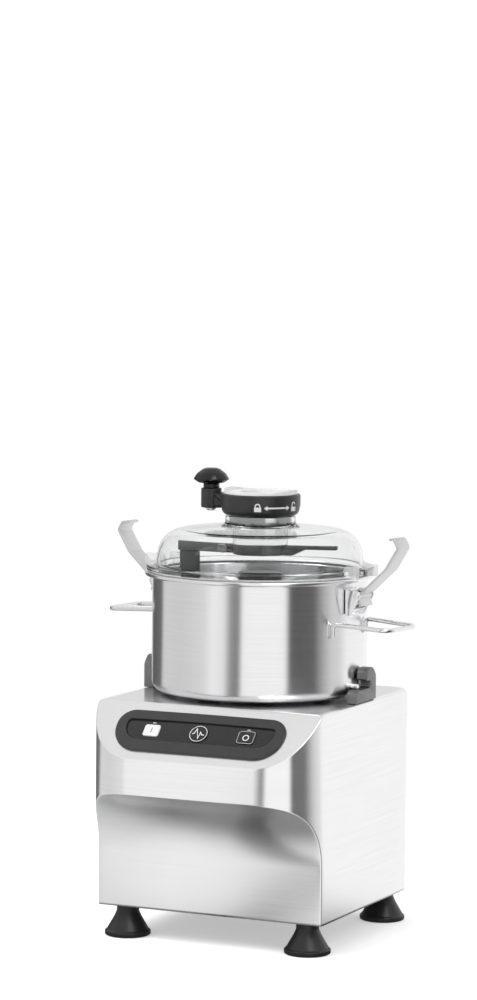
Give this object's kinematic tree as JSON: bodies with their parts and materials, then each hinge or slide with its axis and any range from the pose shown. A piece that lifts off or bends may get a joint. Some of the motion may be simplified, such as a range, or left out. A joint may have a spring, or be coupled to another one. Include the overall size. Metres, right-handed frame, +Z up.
{
  "type": "meat bowl cutter",
  "caption": "Bench-top meat bowl cutter: steel motor base with a keyed front nose, lock-on bowl with latches, sickle blade unit, clear lid with crank and scraper.",
  "frame": {"origin": "on the bench under the middle of the object's footprint; the shaft's axis is 19 mm behind it", "axes": "+Z up, +Y towards the back, +X to the right as seen from the control panel"},
  "size_m": [0.3768, 0.32, 0.5147],
  "materials": {
    "housing_steel": "brushed",
    "bowl_steel": "brushed",
    "polished_steel": "polished",
    "blade_steel": "satin ground",
    "latch_steel": "satin",
    "hook_metal": "satin grey cast",
    "foot_rubber": "matt",
    "panel_plastic": "fine matt",
    "black_plastic": "satin",
    "gloss_black": "gloss",
    "key_white": "satin",
    "key_grey": "satin",
    "light": "gloss",
    "clear_plastic": "clear",
    "cap_white": "translucent",
    "seal_silicone": "matt",
    "motor_aluminium": "as cast",
    "motor_iron": "bare laminations",
    "board": "matt"
  },
  "bodies": {
    "base": {"base_housing": "housing_steel", "base_plate": "housing_steel", "foot_front_left": "foot_rubber", "foot_front_right": "foot_rubber", "foot_back_right": "foot_rubber", "foot_back_left": "foot_rubber", "panel_bezel": "panel_plastic", "panel_face": "panel_plastic", "panel_board": "board", "light_start": "light", "light_stop": "light", "hook_left": "hook_metal", "hook_right": "hook_metal", "shaft_seal": "black_plastic", "bowl_pad_1": "foot_rubber", "bowl_pad_2": "foot_rubber", "bowl_pad_3": "foot_rubber", "cable_gland": "black_plastic", "motor_plate": "motor_aluminium", "upper_shield": "motor_aluminium", "lower_shield": "motor_aluminium", "stator": "motor_iron", "upper_bearing": "polished_steel", "lower_bearing": "polished_steel", "control_unit": "board", "run_capacitor": "black_plastic"},
    "spindle": {"drive_shaft": "polished_steel", "rotor": "motor_iron", "cooling_fan": "black_plastic"},
    "blade_unit": {"blade_hub": "black_plastic", "hub_ring": "polished_steel", "upper_blade": "blade_steel", "lower_blade": "blade_steel"},
    "turn_ring": {"centring_ring": "black_plastic"},
    "bowl": {"bowl": "bowl_steel", "bowl_pin_left": "polished_steel", "bowl_pin_right": "polished_steel", "handle_left": "polished_steel", "handle_right": "polished_steel", "latch_bracket_left": "bowl_steel", "latch_bracket_right": "bowl_steel", "latch_pin_left": "polished_steel", "latch_pin_right": "polished_steel"},
    "latch_left": {"latch_arm_left": "latch_steel"},
    "latch_right": {"latch_arm_right": "latch_steel"},
    "lid": {"lid_dome": "clear_plastic", "lid_seal": "seal_silicone", "neck_bush": "polished_steel"},
    "crank": {"crank_ring": "black_plastic", "scraper_arm": "black_plastic", "scraper_blade": "black_plastic", "scraper_bolt": "hook_metal", "knob_stem": "polished_steel"},
    "knob": {"knob": "gloss_black"},
    "filler_cap": {"filler_cap": "cap_white"},
    "key_start": {"key_start": "key_white"},
    "key_pulse": {"key_pulse": "key_grey"},
    "key_stop": {"key_stop": "key_grey"}
  },
  "joints": [
    {"name": "spindle_spin", "type": "hinge", "parent": "base", "child": "spindle", "pos_m": [0, 0.019, 0.2], "axis": [0, 0, 1], "continuous": true},
    {"name": "blade_lift", "type": "slide", "parent": "spindle", "child": "blade_unit", "axis": [0, 0, 1], "range_m": [0, 0.3931]},
    {"name": "bowl_turn", "type": "hinge", "parent": "base", "child": "turn_ring", "pos_m": [0, 0.019, 0.2785], "axis": [0, 0, 1], "range_deg": [0, 8]},
    {"name": "bowl_lift", "type": "slide", "parent": "turn_ring", "child": "bowl", "axis": [0, 0, 1], "range_m": [0, 0.1671]},
    {"name": "lid_lift", "type": "slide", "parent": "bowl", "child": "lid", "axis": [0, 0, 1], "range_m": [0, 0.282]},
    {"name": "crank_turn", "type": "hinge", "parent": "lid", "child": "crank", "pos_m": [0, 0.019, 0.46], "axis": [0, 0, 1], "continuous": true},
    {"name": "knob_spin", "type": "hinge", "parent": "crank", "child": "knob", "pos_m": [-0.06241, 0.02227, 0.5], "axis": [0, 0, 1], "continuous": true},
    {"name": "cap_lift", "type": "slide", "parent": "crank", "child": "filler_cap", "axis": [0, 0, -1], "range_m": [-0.06, 0]},
    {"name": "latch_left_swing", "type": "hinge", "parent": "bowl", "child": "latch_left", "pos_m": [-0.13369, 0.03779, 0.3833], "axis": [0.1392, 0.9903, 0], "range_deg": [0, 60]},
    {"name": "latch_right_swing", "type": "hinge", "parent": "bowl", "child": "latch_right", "pos_m": [0.13369, 0.00021, 0.3833], "axis": [-0.1392, -0.9903, 0], "range_deg": [0, 60]},
    {"name": "key_start_press", "type": "slide", "parent": "base", "child": "key_start", "axis": [0, -0.7266, 0.687], "range_m": [-0.001, 0], "stiffness_N_per_m": 400},
    {"name": "key_pulse_press", "type": "slide", "parent": "base", "child": "key_pulse", "axis": [0, -0.7266, 0.687], "range_m": [-0.001, 0], "stiffness_N_per_m": 400},
    {"name": "key_stop_press", "type": "slide", "parent": "base", "child": "key_stop", "axis": [0, -0.7266, 0.687], "range_m": [-0.001, 0], "stiffness_N_per_m": 400}
  ],
  "couplings": [
    {"joint": "blade_lift", "follows": "lid_lift", "ratio": 1.3936},
    {"joint": "bowl_lift", "follows": "lid_lift", "ratio": 0.5922}
  ]
}
